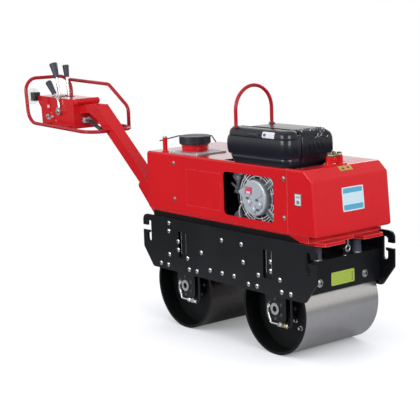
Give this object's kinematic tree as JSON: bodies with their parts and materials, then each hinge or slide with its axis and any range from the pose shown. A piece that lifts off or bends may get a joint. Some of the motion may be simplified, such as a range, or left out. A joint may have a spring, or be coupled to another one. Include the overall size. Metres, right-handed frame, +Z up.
{
  "type": "walk-behind roller",
  "caption": "Walk-behind tandem roller with smooth steel drums, lashing hooks in its side plates, a red hood with an air-cooled engine, and a folding drawbar with levers and a guard loop.",
  "frame": {"origin": "middle of the bounding box, on the ground under the drums", "axes": "+X away from the operator along the machine, +Y to the machine's left, +Z up"},
  "size_m": [2.424, 0.468, 1.196],
  "materials": {
    "red_paint": "gloss",
    "black_paint": "satin",
    "grey_paint": "satin",
    "drum_steel": "brushed around",
    "axle_steel": "turned",
    "bright_steel": "polished",
    "black_rubber": "matt",
    "grip_rubber": "matt",
    "engine_black": "painted",
    "black_plastic": "moulded",
    "cover_plastic": "moulded",
    "cover_metal": "satin",
    "cast_aluminium": "cast",
    "brass_parts": "machined",
    "clear_plastic": "translucent"
  },
  "bodies": {
    "chassis": {"front_axle": "axle_steel", "rear_axle": "axle_steel", "front_hangers": "black_paint", "rear_hangers": "black_paint", "front_crossmember": "black_paint", "rear_crossmember": "black_paint", "hub_caps": "bright_steel", "hub_pipes": "bright_steel", "hub_hoses": "black_rubber", "side_plate_right": "black_paint", "side_plate_left": "black_paint", "frame_floor": "black_paint", "exciter_housing": "black_paint", "rubber_buffers": "black_rubber", "platform": "red_paint", "hood_front": "red_paint", "hood_deck": "red_paint", "hood_side_right": "red_paint", "hood_side_left": "red_paint", "engine_block": "engine_black", "fan_housing": "black_plastic", "recoil_starter": "cast_aluminium", "engine_cover": "cover_plastic", "muffler_cover": "cover_metal", "lifting_hoop": "red_paint", "filler_plate": "grey_paint", "filler_neck": "red_paint", "filler_cap": "black_plastic", "lock_post": "red_paint", "lock_bar": "bright_steel", "couplings": "red_paint", "coupling_stems": "brass_parts", "drawbar_bracket": "red_paint", "pivot_pin": "axle_steel"},
    "front_drum": {"front_drum": "drum_steel"},
    "rear_drum": {"rear_drum": "drum_steel"},
    "drawbar": {"beam": "red_paint", "console": "red_paint", "handle_loop": "red_paint", "side_rail": "red_paint", "levers": "bright_steel", "lever_grips": "grip_rubber", "stop_block": "black_plastic", "stop_plate": "clear_plastic", "control_cables": "black_rubber"}
  },
  "joints": [
    {"name": "front_drum_spin", "type": "hinge", "parent": "chassis", "child": "front_drum", "pos_m": [0.927, 0, 0.2], "axis": [0, 1, 0], "continuous": true},
    {"name": "rear_drum_spin", "type": "hinge", "parent": "chassis", "child": "rear_drum", "pos_m": [0.303, 0, 0.2], "axis": [0, 1, 0], "continuous": true},
    {"name": "drawbar_fold", "type": "hinge", "parent": "chassis", "child": "drawbar", "pos_m": [-0.025, 0, 0.426], "axis": [0, 1, 0], "range_deg": [0, 50]}
  ]
}
